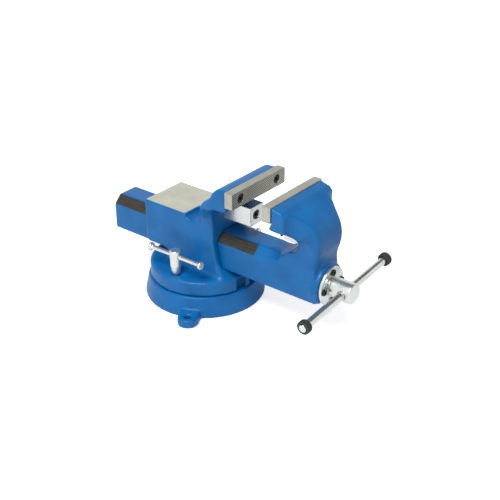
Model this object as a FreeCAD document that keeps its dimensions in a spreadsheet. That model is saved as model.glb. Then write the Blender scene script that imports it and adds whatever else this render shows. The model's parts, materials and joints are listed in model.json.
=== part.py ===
import FreeCAD, Part
import Sketcher
import math
import os
import re

# Bench vise on a swivelling base. X runs along the spindle towards the handle,
# Z is up, and the origin is where the swivel axis meets the bench.

doc = FreeCAD.newDocument("bench_vise")

SIZES = (
    # base and swivel
    ("base_radius", 95.3),
    ("base_top_radius", 88.9),
    ("base_height", 33.0),
    ("ledge_bore_radius", 77.5),
    ("ledge_underside", 22.0),
    ("cavity_radius", 85.0),
    ("lug_width", 33.0),
    ("lug_reach", 125.5),
    ("lug_height", 14.0),
    ("lug_hole_circle", 110.5),
    ("lug_hole_radius", 5.6),
    ("lug_angle", -63.5),
    ("lug_corner", 13.0),
    ("sliding_gap", 0.3),
    ("running_fit", 0.05),
    ("screw_clearance", 0.1),
    ("ring_bore_radius", 54.0),
    ("ring_bottom", 9.5),
    ("disc_radius", 86.0),
    ("disc_top", 58.4),
    ("disc_edge_round", 4.0),
    ("spigot_depth", 8.0),
    ("under_recess_radius", 48.0),
    ("under_recess_top", 51.0),
    # fixed jaw casting
    ("housing_width", 84.8),
    ("housing_rear", -84.5),
    ("housing_bottom_rise", 4.7),
    ("pedestal_rear", -42.0),
    ("foot_front", 79.3),
    ("anvil_rise", 22.7),
    ("anvil_front", -0.4),
    ("saddle_rise", 13.5),
    ("column_rear", 31.0),
    ("column_front", 53.0),
    ("flare_low_rise", 31.5),
    ("flare_high_rise", 57.0),
    ("jaw_back_x", 93.6),
    ("jaw_width", 125.0),
    ("jaw_rise", 91.8),
    ("casting_inset", 1.5),
    ("casting_drop", 1.2),
    ("fixed_crown", 15.5),
    ("gusset_width", 16.0),
    ("foot_recess_width", 42.0),
    ("foot_recess_depth", 3.5),
    # jaw plates and their screws
    ("plate_thickness", 13.9),
    ("plate_height", 24.4),
    ("jaw_opening", 52.4),
    ("plate_screw_spacing", 85.0),
    ("plate_head_radius", 6.5),
    ("plate_head_length", 8.0),
    ("plate_shank_radius", 4.0),
    ("plate_screw_length", 26.0),
    ("plate_hex", 6.0),
    ("counterbore_gap", 0.75),
    ("counterbore_sink", 1.0),
    # pipe jaws
    ("pipe_jaw_width", 30.0),
    ("pipe_jaw_height", 30.0),
    ("moving_pipe_depth", 35.5),
    ("pipe_jaw_setback", 3.5),
    ("pipe_jaw_drop", 16.0),
    ("pipe_groove_depth", 1.6),
    ("fixed_pipe_grip", 15.0),
    ("moving_pipe_grip", 16.0),
    # beam and moving jaw casting
    ("beam_width", 61.2),
    ("beam_bottom", 69.3),
    ("beam_top", 125.5),
    ("beam_chamfer", 13.4),
    ("beam_rear", -165.0),
    ("beam_front", 231.0),
    ("chamfer_end", 150.0),
    ("scoop_end", 164.0),
    ("throat_radius", 15.5),
    ("throat_setback", 9.7),
    ("throat_rise", 29.4),
    ("throat_web", 9.0),
    ("channel_width", 38.0),
    ("channel_top", 111.5),
    ("front_wall", 22.0),
    ("neck_front", 235.0),
    ("head_depth", 21.0),
    ("boss_radius", 33.0),
    ("boss_length", 4.0),
    # spindle, collar and handle
    ("spindle_height", 90.2),
    ("thread_radius", 12.0),
    ("journal_radius", 13.0),
    ("spindle_rear", -60.0),
    ("flange_radius", 29.6),
    ("flange_thickness", 5.0),
    ("flange_lip", 0.9),
    ("flange_screw_circle", 22.3),
    ("flange_screw_turn", 92.0),
    ("flange_head_radius", 4.6),
    ("flange_head_length", 4.6),
    ("flange_head_proud", 3.0),
    ("flange_shank_radius", 3.0),
    ("flange_screw_length", 11.8),
    ("flange_hex", 4.6),
    ("washer_radius", 14.6),
    ("washer_thickness", 1.6),
    ("spindle_head_radius", 15.3),
    ("spindle_head_length", 35.2),
    ("head_chamfer", 1.5),
    ("collar_radius", 17.5),
    ("collar_length", 9.7),
    ("collar_pin_radius", 2.0),
    ("handle_offset", 21.8),
    ("handle_tilt", 4.0),
    ("handle_radius", 6.0),
    ("handle_half_length", 109.0),
    ("cap_radius", 10.2),
    ("cap_length", 10.5),
    ("cap_inset", 1.0),
    # nut
    ("nut_length", 40.0),
    ("nut_width", 32.0),
    ("nut_top", 108.5),
    ("nut_bolt_spacing", 24.0),
    ("nut_bolt_radius", 5.0),
    ("nut_bolt_head_radius", 8.0),
    ("nut_bolt_head_height", 6.0),
    ("nut_bolt_tip_gap", 1.5),
    # locking screws
    ("lock_x", 2.0),
    ("lock_y", 70.0),
    ("lock_shank_radius", 5.0),
    ("lock_hole_radius", 5.4),
    ("lock_foot_radius", 6.2),
    ("lock_barrel_radius", 8.8),
    ("lock_top", 99.0),
    ("lock_bottom", 10.5),
    ("lock_bar_height", 88.8),
    ("lock_bar_radius", 3.5),
    ("lock_bar_half_length", 52.0),
    ("lock_bar_end_radius", 6.4),
    ("lock_bar_end_length", 3.5),
)

sheet = doc.addObject("Spreadsheet::Sheet", "Sizes")
for row, (alias, value) in enumerate(SIZES, 1):
    sheet.set("A%d" % row, alias)
    sheet.set("B%d" % row, str(value))
    sheet.setAlias("B%d" % row, alias)
doc.recompute()
NAMES = {alias for alias, value in SIZES}

# Heights that ride on the beam's top, so that a taller beam lifts the jaws with it.
LEVELS = {
    "anvil_top": "(beam_top + anvil_rise)",
    "saddle_height": "(beam_top + saddle_rise)",
    "flare_low": "(beam_top + flare_low_rise)",
    "flare_high": "(beam_top + flare_high_rise)",
    "jaw_top": "(beam_top + jaw_rise)",
    "casting_top": "(beam_top + jaw_rise - casting_drop)",
    "casting_half": "(jaw_width / 2 - casting_inset)",
    "housing_bottom": "(beam_bottom + housing_bottom_rise)",
    "nut_bolt_reach": "(spindle_height - thread_radius - nut_bolt_tip_gap)",
}


def bound(text):
    """The same formula with each size's name pointing at the sheet."""
    def swap(match):
        word = match.group(0)
        if word in LEVELS:
            return bound(LEVELS[word])
        return "Sizes." + word if word in NAMES else word
    return re.sub(r"[A-Za-z_][A-Za-z_0-9]*", swap, str(text))


def bind(obj, **formulas):
    """Bind properties; a double underscore in a name stands for a dot."""
    for name, text in formulas.items():
        obj.setExpression(name.replace("__", "."), bound(text))


def new_body(label):
    body = doc.addObject("PartDesign::Body", label)
    body.Label = label
    return body


def origin_feature(body, role):
    return [f for f in body.Origin.OriginFeatures if f.Role == role][0]


def new_sketch(body, name, plane, offset, rise="0", turn="0"):
    """A sketch on an origin plane, moved along its normal, up and turned."""
    sketch = body.newObject("Sketcher::SketchObject", name)
    sketch.AttachmentSupport = [(origin_feature(body, plane), "")]
    sketch.MapMode = "FlatFace"
    bind(sketch, AttachmentOffset__Base__z=offset)
    bind(sketch, AttachmentOffset__Base__y=rise)
    bind(sketch, AttachmentOffset__Rotation__Angle=turn)
    return sketch


def add_polygon(sketch, points):
    """A closed outline whose every corner is placed by two bound distances."""
    first = sketch.GeometryCount
    count = len(points)
    ring = [
        FreeCAD.Vector(
            40 * math.cos(2 * math.pi * k / count),
            40 * math.sin(2 * math.pi * k / count),
            0,
        )
        for k in range(count)
    ]
    for k in range(count):
        sketch.addGeometry(Part.LineSegment(ring[k], ring[(k + 1) % count]), False)
    for k in range(count):
        follower = first + (k + 1) % count
        sketch.addConstraint(Sketcher.Constraint("Coincident", first + k, 2, follower, 1))
    for k, (across, along) in enumerate(points):
        for kind, text in (("DistanceX", across), ("DistanceY", along)):
            index = sketch.addConstraint(Sketcher.Constraint(kind, first + k, 1, 1.0))
            sketch.setExpression("Constraints[%d]" % index, bound(text))


def add_circles(sketch, circles):
    """Full circles, each given as centre and radius formulas."""
    for across, along, radius in circles:
        ring = Part.Circle(FreeCAD.Vector(1, 1, 0), FreeCAD.Vector(0, 0, 1), 2)
        geo = sketch.addGeometry(ring, False)
        for kind, text in (("DistanceX", across), ("DistanceY", along)):
            index = sketch.addConstraint(Sketcher.Constraint(kind, geo, 3, 1.0))
            sketch.setExpression("Constraints[%d]" % index, bound(text))
        index = sketch.addConstraint(Sketcher.Constraint("Radius", geo, 2.0))
        sketch.setExpression("Constraints[%d]" % index, bound(radius))


def outline(body, name, plane, points, offset="0", rise="0", turn="0"):
    sketch = new_sketch(body, name, plane, offset, rise, turn)
    add_polygon(sketch, points)
    return sketch


def rings(body, name, plane, circles, offset="0", rise="0", turn="0"):
    sketch = new_sketch(body, name, plane, offset, rise, turn)
    add_circles(sketch, circles)
    return sketch


def pad(body, sketch, length, both_sides=False, backwards=False):
    feature = body.newObject("PartDesign::Pad", sketch.Name + "_pad")
    feature.Profile = sketch
    feature.SideType = "Symmetric" if both_sides else "One side"
    feature.Reversed = backwards
    bind(feature, Length=length)
    return feature


def pocket(body, sketch, length, both_sides=False, backwards=False):
    feature = body.newObject("PartDesign::Pocket", sketch.Name + "_pocket")
    feature.Profile = sketch
    feature.SideType = "Symmetric" if both_sides else "One side"
    feature.Reversed = backwards
    bind(feature, Length=length)
    return feature


def revolve(body, sketch, axis):
    feature = body.newObject("PartDesign::Revolution", sketch.Name + "_turned")
    feature.Profile = sketch
    feature.ReferenceAxis = (sketch, [axis])
    feature.Angle = 360
    return feature


def fillet(body, feature, radius, chosen):
    """Round the edges whose midpoint passes the test."""
    doc.recompute()
    names = []
    for number, edge in enumerate(feature.Shape.Edges, 1):
        middle = edge.valueAt((edge.FirstParameter + edge.LastParameter) / 2)
        if chosen(edge, middle):
            names.append("Edge%d" % number)
    rounded = body.newObject("PartDesign::Fillet", feature.Name + "_round")
    rounded.Base = (feature, names)
    bind(rounded, Radius=radius)
    doc.recompute()
    return rounded


def size(name):
    return float(sheet.get(name))


def mirrored_points(points):
    """The same outline on the other side of the middle."""
    return [("-(%s)" % across, along) for across, along in points]


def hexagon(width, across="0", along="0"):
    """Corners of a hexagon of the given width across flats."""
    corners = []
    for k in range(6):
        angle = 60 * k
        corners.append((
            "%s + %s / sqrt(3) * cos(%d deg)" % (across, width, angle),
            "%s + %s / sqrt(3) * sin(%d deg)" % (along, width, angle),
        ))
    return corners


def socket_screw(label, head_radius, head_length, shank_radius, length, hex_width):
    """A socket head cap screw along X, its head's face at the origin facing +X."""
    body = new_body(label)
    profile = outline(body, label + "_profile", "XZ_Plane", [
        ("0", "0"),
        ("0", head_radius + " - 0.5"),
        ("-0.5", head_radius),
        ("-(%s)" % head_length, head_radius),
        ("-(%s)" % head_length, shank_radius),
        ("-(%s) + 1" % length, shank_radius),
        ("-(%s)" % length, shank_radius + " - 1"),
        ("-(%s)" % length, "0"),
    ])
    revolve(body, profile, "H_Axis")
    socket = outline(body, label + "_socket", "YZ_Plane", hexagon(hex_width))
    pocket(body, socket, "%s * 0.6" % head_length)
    return body


def place(obj, across, depth, height, turn=0, axis=(0, 0, 1)):
    """Put a piece at bound coordinates, turned about an axis."""
    obj.Placement = FreeCAD.Placement(
        FreeCAD.Vector(0, 0, 0),
        FreeCAD.Rotation(FreeCAD.Vector(*axis), turn),
    )
    bind(obj, Placement__Base__x=across, Placement__Base__y=depth, Placement__Base__z=height)


# Lines that several pieces share.
PLATE_FRONT = "(jaw_back_x + plate_thickness)"
MOVING_FRONT = "(jaw_back_x + plate_thickness + jaw_opening)"
MOVING_BACK = "(jaw_back_x + 2 * plate_thickness + jaw_opening)"
PLATE_MIDDLE = "(jaw_top - plate_height / 2)"
PIPE_TOP = "(jaw_top - plate_height - pipe_jaw_drop)"
PIPE_BOTTOM = "(jaw_top - plate_height - pipe_jaw_drop - pipe_jaw_height)"
PIPE_MIDDLE = "(jaw_top - plate_height - pipe_jaw_drop - pipe_jaw_height / 2)"
FIXED_PIPE_FACE = "(jaw_back_x + plate_thickness - pipe_jaw_setback)"
MOVING_PIPE_FACE = "(jaw_back_x + plate_thickness + jaw_opening + pipe_jaw_setback)"
MOVING_PIPE_BACK = "(%s + moving_pipe_depth)" % MOVING_PIPE_FACE
FLANGE_BACK = "(beam_front + boss_length)"
FLANGE_FACE = "(beam_front + boss_length + flange_thickness)"
HEAD_BACK = "(beam_front + boss_length + flange_thickness + 2 * sliding_gap + washer_thickness)"
TUNNEL_FLOOR = "(beam_bottom - sliding_gap)"
LEDGE_TOP = "(base_height + sliding_gap)"

# ---------------------------------------------------------------- base
swivel_base = new_body("swivel_base")
base_profile = outline(swivel_base, "base_profile", "XZ_Plane", [
    ("cavity_radius", "0"),
    ("base_radius", "0"),
    ("base_radius", "4"),
    ("base_top_radius", "base_height"),
    ("ledge_bore_radius", "base_height"),
    ("ledge_bore_radius", "ledge_underside"),
    ("cavity_radius", "ledge_underside"),
])
base_ring = revolve(swivel_base, base_profile, "V_Axis")
lug_outline = outline(swivel_base, "lug_outline", "XY_Plane", [
    ("cavity_radius + 3", "-lug_width / 2"),
    ("lug_reach - lug_corner", "-lug_width / 2"),
    ("lug_reach - 0.3 * lug_corner", "-lug_width / 2 + 0.3 * lug_corner"),
    ("lug_reach", "-lug_width / 2 + lug_corner"),
    ("lug_reach", "lug_width / 2 - lug_corner"),
    ("lug_reach - 0.3 * lug_corner", "lug_width / 2 - 0.3 * lug_corner"),
    ("lug_reach - lug_corner", "lug_width / 2"),
    ("cavity_radius + 3", "lug_width / 2"),
], turn="lug_angle")
lug = pad(swivel_base, lug_outline, "lug_height")
lug_hole_ring = rings(
    swivel_base, "lug_hole", "XY_Plane",
    [("lug_hole_circle", "0", "lug_hole_radius")], turn="lug_angle",
)
lug_hole = pocket(swivel_base, lug_hole_ring, "lug_height + 2", backwards=True)
lugs = swivel_base.newObject("PartDesign::PolarPattern", "lugs")
lugs.Originals = [lug, lug_hole]
lugs.Axis = (base_profile, ["V_Axis"])
lugs.Angle = 360
lugs.Occurrences = 2
swivel_base.Tip = lugs

# ---------------------------------------------------------------- clamp ring
# The ring that the two locking screws pull up against the base's ledge.
clamp_ring = new_body("clamp_ring")
ring_sketch = rings(clamp_ring, "ring_outline", "XY_Plane", [
    ("0", "0", "cavity_radius - 2 * sliding_gap"),
    ("0", "0", "ring_bore_radius"),
], offset="ring_bottom")
pad(clamp_ring, ring_sketch, "ledge_underside - sliding_gap - ring_bottom")
ring_holes = rings(clamp_ring, "ring_threads", "XY_Plane", [
    ("lock_x", "lock_y", "lock_shank_radius + running_fit"),
    ("lock_x", "-lock_y", "lock_shank_radius + running_fit"),
], offset="ring_bottom")
pocket(clamp_ring, ring_holes, "base_height", backwards=True)

# ---------------------------------------------------------------- fixed jaw
# One casting: swivel disc, housing with the beam's tunnel, anvil, column and jaw.
fixed_jaw = new_body("fixed_jaw")
disc = pad(
    fixed_jaw,
    rings(fixed_jaw, "disc_outline", "XY_Plane", [("0", "0", "disc_radius")], offset=LEDGE_TOP),
    "disc_top - %s" % LEDGE_TOP,
)
rounded_disc = fillet(
    fixed_jaw, disc, "disc_edge_round",
    lambda edge, middle: middle.z > size("disc_top") - 0.01,
)
spigot = pad(
    fixed_jaw,
    rings(fixed_jaw, "spigot_outline", "XY_Plane",
          [("0", "0", "ledge_bore_radius - running_fit")], offset=LEDGE_TOP),
    "spigot_depth",
    backwards=True,
)
pad(fixed_jaw, outline(fixed_jaw, "housing_outline", "XZ_Plane", [
    ("housing_rear", "housing_bottom"),
    ("housing_rear", "anvil_top"),
    ("anvil_front", "anvil_top"),
    ("anvil_front - 0.5", "saddle_height + 4"),
    ("anvil_front + 6", "saddle_height + 0.5"),
    ("anvil_front + 15", "saddle_height"),
    ("column_rear - 5", "saddle_height + 2"),
    ("column_rear", "saddle_height + 8"),
    ("column_rear + 2", "flare_low + 2"),
    ("column_rear + 5.5", "flare_low + 14"),
    ("column_front - 8", "flare_high + 2"),
    ("column_front + 8", "flare_high + 2"),
    ("column_front + 4", "flare_low + 14"),
    ("column_front", "flare_low"),
    ("column_front", "beam_top - 15"),
    ("column_front + 2", "beam_top - 25"),
    ("column_front + 6", "beam_bottom + 13"),
    ("column_front + 12", "beam_bottom"),
    ("column_front + 19", "disc_top + 1"),
    ("foot_front", "disc_top - 6"),
    ("foot_front", LEDGE_TOP),
    ("pedestal_rear + 6", LEDGE_TOP),
    ("pedestal_rear + 6", "disc_top"),
    ("pedestal_rear + 2", "beam_bottom - 2"),
    ("pedestal_rear - 4", "housing_bottom"),
]), "housing_width", both_sides=True)
pad(fixed_jaw, outline(fixed_jaw, "fixed_head_outline", "XZ_Plane", [
    ("column_front", "flare_low - 12"),
    ("column_front", "flare_low"),
    ("column_front + 4", "flare_low + 14"),
    ("jaw_back_x - 24", "flare_high - 1.5"),
    ("jaw_back_x", "flare_high"),
    ("jaw_back_x", "casting_top"),
    ("jaw_back_x - fixed_crown", "casting_top"),
    ("jaw_back_x - fixed_crown - 6", "casting_top - 3"),
    ("jaw_back_x - fixed_crown - 11", "casting_top - 8"),
    ("jaw_back_x - fixed_crown - 16", "casting_top - 18"),
    ("column_front - 4", "flare_high + 6"),
    ("column_front - 10", "flare_high - 3"),
    ("column_rear + 5.5", "flare_low + 14"),
    ("column_rear + 2", "flare_low + 2"),
    ("column_rear + 1", "flare_low - 12"),
]), "2 * casting_half", both_sides=True)
flare = [
    ("housing_width / 2", "saddle_height"),
    ("housing_width / 2", "flare_low - 12"),
    ("housing_width / 2 + 2.5", "flare_low - 1"),
    ("housing_width / 2 + 8", "flare_low + 11"),
    ("casting_half - 3", "flare_high - 7"),
    ("casting_half", "flare_high"),
    ("jaw_width", "flare_high"),
    ("jaw_width", "saddle_height"),
]
flare_sketch = new_sketch(fixed_jaw, "fixed_flare", "YZ_Plane", "0")
add_polygon(flare_sketch, flare)
add_polygon(flare_sketch, mirrored_points(flare))
pocket(fixed_jaw, flare_sketch, "4 * jaw_width", both_sides=True)
pad(fixed_jaw, outline(fixed_jaw, "gusset_outline", "XZ_Plane", [
    ("anvil_front - 3", "saddle_height - 2"),
    ("anvil_front - 3", "anvil_top - 2"),
    ("column_rear + 3", "flare_low + 4"),
    ("column_rear + 3", "saddle_height - 2"),
]), "gusset_width", both_sides=True)
pocket(fixed_jaw, outline(fixed_jaw, "foot_recess", "XZ_Plane", [
    ("foot_front - foot_recess_depth", LEDGE_TOP + " - 1"),
    ("foot_front - foot_recess_depth", "disc_top - 3"),
    ("foot_front + 5", "disc_top - 3"),
    ("foot_front + 5", LEDGE_TOP + " - 1"),
]), "foot_recess_width", both_sides=True)
pocket(fixed_jaw, rings(fixed_jaw, "foot_trim", "XY_Plane", [
    ("0", "0", "disc_radius + 0.4"),
    ("0", "0", "disc_radius + foot_front"),
], offset="disc_top - disc_edge_round"), "disc_top - disc_edge_round - (%s)" % LEDGE_TOP)
half_tunnel = "(beam_width / 2 + sliding_gap)"
tunnel = outline(fixed_jaw, "tunnel_outline", "YZ_Plane", [
    ("-" + half_tunnel, TUNNEL_FLOOR),
    ("-" + half_tunnel, "beam_top - beam_chamfer + sliding_gap / 2"),
    ("-%s + beam_chamfer" % half_tunnel, "beam_top + sliding_gap"),
    ("%s - beam_chamfer" % half_tunnel, "beam_top + sliding_gap"),
    (half_tunnel, "beam_top - beam_chamfer + sliding_gap / 2"),
    (half_tunnel, TUNNEL_FLOOR),
])
bored = pocket(fixed_jaw, tunnel, "6 * jaw_width", both_sides=True)
under = pocket(
    fixed_jaw,
    rings(fixed_jaw, "under_recess", "XY_Plane", [("0", "0", "under_recess_radius")],
          offset="%s - spigot_depth" % LEDGE_TOP),
    "under_recess_top - %s + spigot_depth" % LEDGE_TOP,
    backwards=True,
)
pocket(
    fixed_jaw,
    rings(fixed_jaw, "lock_holes", "XY_Plane", [
        ("lock_x", "lock_y", "lock_hole_radius"),
        ("lock_x", "-lock_y", "lock_hole_radius"),
    ], offset="disc_top + 1"),
    "disc_top",
)
pocket(
    fixed_jaw,
    rings(fixed_jaw, "nut_bolt_holes", "XY_Plane", [
        ("nut_bolt_spacing / 2", "0", "nut_bolt_radius + screw_clearance"),
        ("-nut_bolt_spacing / 2", "0", "nut_bolt_radius + screw_clearance"),
    ], offset=TUNNEL_FLOOR + " + 1"),
    "beam_bottom",
)
pocket(fixed_jaw, outline(fixed_jaw, "fixed_seat_outline", "XZ_Plane", [
    ("column_front", PIPE_BOTTOM + " - sliding_gap"),
    ("column_front", PIPE_TOP + " + sliding_gap"),
    ("jaw_back_x + 12", PIPE_TOP + " + sliding_gap"),
    ("jaw_back_x + 12", PIPE_BOTTOM + " - sliding_gap"),
]), "pipe_jaw_width + 2 * sliding_gap", both_sides=True)
pocket(
    fixed_jaw,
    rings(fixed_jaw, "fixed_plate_threads", "YZ_Plane", [
        ("plate_screw_spacing / 2", PLATE_MIDDLE, "plate_shank_radius + screw_clearance"),
        ("-plate_screw_spacing / 2", PLATE_MIDDLE, "plate_shank_radius + screw_clearance"),
    ], offset="jaw_back_x"),
    "plate_screw_length - plate_thickness + 1",
)
pocket(
    fixed_jaw,
    rings(fixed_jaw, "fixed_pipe_thread", "YZ_Plane", [
        ("0", PIPE_MIDDLE, "plate_shank_radius + screw_clearance"),
    ], offset="column_front"),
    "fixed_pipe_grip + 2",
)

# ---------------------------------------------------------------- jaw plates
def jaw_plate(label, back, direction):
    """A flat plate with two counterbored screw holes in its gripping face."""
    body = new_body(label)
    face = "%s + (%d) * plate_thickness" % (back, direction)
    towards_back = direction < 0
    pad(body, outline(body, label + "_outline", "YZ_Plane", [
        ("-jaw_width / 2", "jaw_top - plate_height"),
        ("jaw_width / 2", "jaw_top - plate_height"),
        ("jaw_width / 2", "jaw_top"),
        ("-jaw_width / 2", "jaw_top"),
    ], offset=back), "plate_thickness", backwards=towards_back)
    for tag, radius, depth in (
        ("_counterbores", "plate_head_radius + counterbore_gap", "plate_head_length + counterbore_sink"),
        ("_holes", "plate_shank_radius + 2 * screw_clearance", "plate_thickness + 1"),
    ):
        pocket(body, rings(body, label + tag, "YZ_Plane", [
            ("plate_screw_spacing / 2", PLATE_MIDDLE, radius),
            ("-plate_screw_spacing / 2", PLATE_MIDDLE, radius),
        ], offset=face), depth, backwards=towards_back)
    return body


fixed_jaw_plate = jaw_plate("fixed_jaw_plate", "jaw_back_x", 1)
moving_jaw_plate = jaw_plate("moving_jaw_plate", MOVING_BACK, -1)

for number, side in ((1, "-"), (2, "")):
    for jaw, front, turn in (("fixed", PLATE_FRONT, 0), ("moving", MOVING_FRONT, 180)):
        screw = socket_screw(
            "%s_plate_screw_%d" % (jaw, number),
            "plate_head_radius", "plate_head_length", "plate_shank_radius",
            "(plate_screw_length - counterbore_sink)", "plate_hex",
        )
        sink = "-" if turn == 0 else "+"
        place(
            screw, "%s %s counterbore_sink" % (front, sink),
            "%splate_screw_spacing / 2" % side, PLATE_MIDDLE, turn,
        )

# ---------------------------------------------------------------- pipe jaws
def pipe_jaw(label, back, face, grip, direction):
    """A block with a shallow groove across its face for round stock."""
    body = new_body(label)
    valley = "%s - (%d) * pipe_groove_depth" % (face, direction)
    depth = "((%s) - (%s)) * (%d)" % (face, back, direction)
    pad(body, outline(body, label + "_outline", "XZ_Plane", [
        (back, PIPE_BOTTOM),
        (face, PIPE_BOTTOM),
        (face, PIPE_BOTTOM + " + 4"),
        (valley, PIPE_MIDDLE + " - 5"),
        (valley, PIPE_MIDDLE + " + 5"),
        (face, PIPE_TOP + " - 4"),
        (face, PIPE_TOP),
        (back, PIPE_TOP),
    ]), "pipe_jaw_width", both_sides=True)
    for tag, radius, deep in (
        ("_counterbore", "plate_head_radius + counterbore_gap",
         "pipe_groove_depth + plate_head_length + counterbore_sink"),
        ("_hole", "plate_shank_radius + 2 * screw_clearance", depth + " + 1"),
    ):
        pocket(body, rings(body, label + tag, "YZ_Plane", [("0", PIPE_MIDDLE, radius)],
               offset=face), deep, backwards=direction < 0)
    screw = socket_screw(
        label + "_screw", "plate_head_radius", "plate_head_length", "plate_shank_radius",
        "(%s - pipe_groove_depth - counterbore_sink + %s)" % (depth, grip), "plate_hex",
    )
    place(
        screw, "%s - (%d) * counterbore_sink" % (valley, direction),
        "0", PIPE_MIDDLE, 0 if direction > 0 else 180,
    )
    return body


fixed_pipe_jaw = pipe_jaw("fixed_pipe_jaw", "column_front", FIXED_PIPE_FACE, "fixed_pipe_grip", 1)
moving_pipe_jaw = pipe_jaw(
    "moving_pipe_jaw", MOVING_PIPE_BACK, MOVING_PIPE_FACE, "moving_pipe_grip", -1,
)

# ---------------------------------------------------------------- moving jaw
# One casting: the beam, open underneath, the neck with its round throat and the jaw.
moving_jaw = new_body("moving_jaw")
neck_front_outline = [
    ("%s + head_depth - 4" % MOVING_BACK, "casting_top - 4"),
    ("%s + head_depth - 3" % MOVING_BACK, "casting_top - 7"),
    ("%s + head_depth" % MOVING_BACK, "casting_top - 8.5"),
    ("neck_front - 28", "casting_top - 14"),
    ("neck_front - 20", "casting_top - 19"),
    ("neck_front - 12", "casting_top - 25.5"),
    ("neck_front - 6", "casting_top - 33"),
    ("neck_front - 2", "casting_top - 42"),
    ("neck_front", "casting_top - 51"),
    ("neck_front", "casting_top - 60"),
    ("neck_front - 1.5", "casting_top - 70"),
]
pad(moving_jaw, outline(moving_jaw, "beam_outline", "XZ_Plane", [
    ("beam_rear", "beam_bottom"),
    ("beam_rear", "beam_top"),
    ("chamfer_end + 7", "beam_top"),
    ("chamfer_end + 17", "beam_top + 2"),
    ("%s" % MOVING_BACK, "beam_top + 6"),
    ("%s + throat_setback" % MOVING_BACK, "beam_top + throat_rise - throat_radius + 0.5"),
    ("%s + throat_setback" % MOVING_BACK, "beam_top + throat_rise"),
    ("%s - 6" % MOVING_BACK, "beam_top + throat_rise"),
    ("%s - 6" % MOVING_BACK, "flare_high + 1"),
    (MOVING_BACK, "jaw_top - plate_height - 1"),
    (MOVING_BACK, "casting_top"),
] + neck_front_outline + [
    ("neck_front - 4.5", "beam_top + 12"),
    ("neck_front - 7", "beam_top"),
    ("neck_front - 7", "beam_top - 14"),
    ("beam_front", "spindle_height + 8"),
    ("beam_front", "beam_bottom"),
]), "beam_width", both_sides=True)
pad(moving_jaw, outline(moving_jaw, "moving_head_outline", "XZ_Plane", [
    ("%s + throat_setback" % MOVING_BACK, "beam_top + throat_rise"),
    ("%s - 6" % MOVING_BACK, "beam_top + throat_rise"),
    ("%s - 6" % MOVING_BACK, "flare_high + 1"),
    (MOVING_BACK, "jaw_top - plate_height - 1"),
    (MOVING_BACK, "casting_top"),
] + neck_front_outline + [
    ("neck_front - 20", "casting_top - 72"),
]), "2 * casting_half", both_sides=True)
moving_flare = [
    ("beam_width / 2", "beam_top + 4"),
    ("beam_width / 2", "beam_top + 32"),
    ("beam_width / 2 + 5", "beam_top + 40"),
    ("casting_half - 14", "flare_high - 7"),
    ("casting_half", "flare_high - 1"),
    ("jaw_width", "flare_high - 1"),
    ("jaw_width", "beam_top + 4"),
]
moving_flare_sketch = new_sketch(moving_jaw, "moving_flare", "YZ_Plane", "0")
add_polygon(moving_flare_sketch, moving_flare)
add_polygon(moving_flare_sketch, mirrored_points(moving_flare))
pocket(moving_jaw, moving_flare_sketch, "6 * jaw_width", both_sides=True)
shoulder = [
    ("%s + head_depth" % MOVING_BACK, "casting_half"),
    ("%s + head_depth + 1.5" % MOVING_BACK, "casting_half - 9"),
    ("%s + head_depth + 6" % MOVING_BACK, "beam_width / 2 + 15"),
    ("neck_front - 21", "beam_width / 2 + 7"),
    ("neck_front - 10", "beam_width / 2 + 1.5"),
    ("neck_front + 4", "beam_width / 2"),
    ("neck_front + 4", "jaw_width"),
    ("%s + head_depth" % MOVING_BACK, "jaw_width"),
]
shoulder_sketch = new_sketch(moving_jaw, "shoulder_cut", "XY_Plane", "beam_top")
add_polygon(shoulder_sketch, shoulder)
add_polygon(shoulder_sketch, [(across, "-(%s)" % along) for across, along in shoulder])
pocket(moving_jaw, shoulder_sketch, "jaw_rise + 5", backwards=True)
pocket(
    moving_jaw,
    rings(moving_jaw, "throat", "XZ_Plane", [
        ("%s + throat_setback" % MOVING_BACK, "beam_top + throat_rise", "throat_radius"),
    ]),
    "2 * jaw_width",
    both_sides=True,
)
chamfer = [
    ("beam_width / 2 - beam_chamfer", "beam_top"),
    ("beam_width / 2", "beam_top - beam_chamfer"),
    ("beam_width / 2 + 5", "beam_top - beam_chamfer"),
    ("beam_width / 2 + 5", "beam_top + 2"),
    ("beam_width / 2 - beam_chamfer", "beam_top + 2"),
]
chamfer_sketch = new_sketch(moving_jaw, "beam_chamfers", "YZ_Plane", "chamfer_end")
add_polygon(chamfer_sketch, chamfer)
add_polygon(chamfer_sketch, mirrored_points(chamfer))
pocket(moving_jaw, chamfer_sketch, "chamfer_end - beam_rear + 5")
scoop = [
    ("beam_width / 2 - beam_chamfer", "beam_top"),
    ("beam_width / 2 - 0.4 * beam_chamfer", "beam_top - 0.6 * beam_chamfer"),
    ("beam_width / 2 + 5", "beam_top - 0.6 * beam_chamfer"),
    ("beam_width / 2 + 5", "beam_top + 1"),
    ("beam_width / 2 - beam_chamfer", "beam_top + 1"),
]
scoop_sketch = new_sketch(moving_jaw, "chamfer_scoops", "YZ_Plane", "scoop_end")
add_polygon(scoop_sketch, scoop)
add_polygon(scoop_sketch, mirrored_points(scoop))
pocket(moving_jaw, scoop_sketch, "scoop_end - chamfer_end + 5")
pad(
    moving_jaw,
    rings(moving_jaw, "boss_outline", "YZ_Plane", [("0", "spindle_height", "boss_radius")],
          offset="beam_front - front_wall / 2"),
    "front_wall / 2 + boss_length",
)
pocket(moving_jaw, outline(moving_jaw, "boss_trim", "XZ_Plane", [
    ("beam_front - front_wall", "beam_bottom"),
    ("neck_front + 10", "beam_bottom"),
    ("neck_front + 10", "beam_bottom - boss_radius"),
    ("beam_front - front_wall", "beam_bottom - boss_radius"),
]), "3 * boss_radius", both_sides=True)
pad(
    moving_jaw,
    rings(moving_jaw, "flange_seat", "YZ_Plane", [
        ("0", "spindle_height", "flange_radius - flange_lip"),
    ], offset="beam_front - 1"),
    "boss_length + 1",
)
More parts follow.
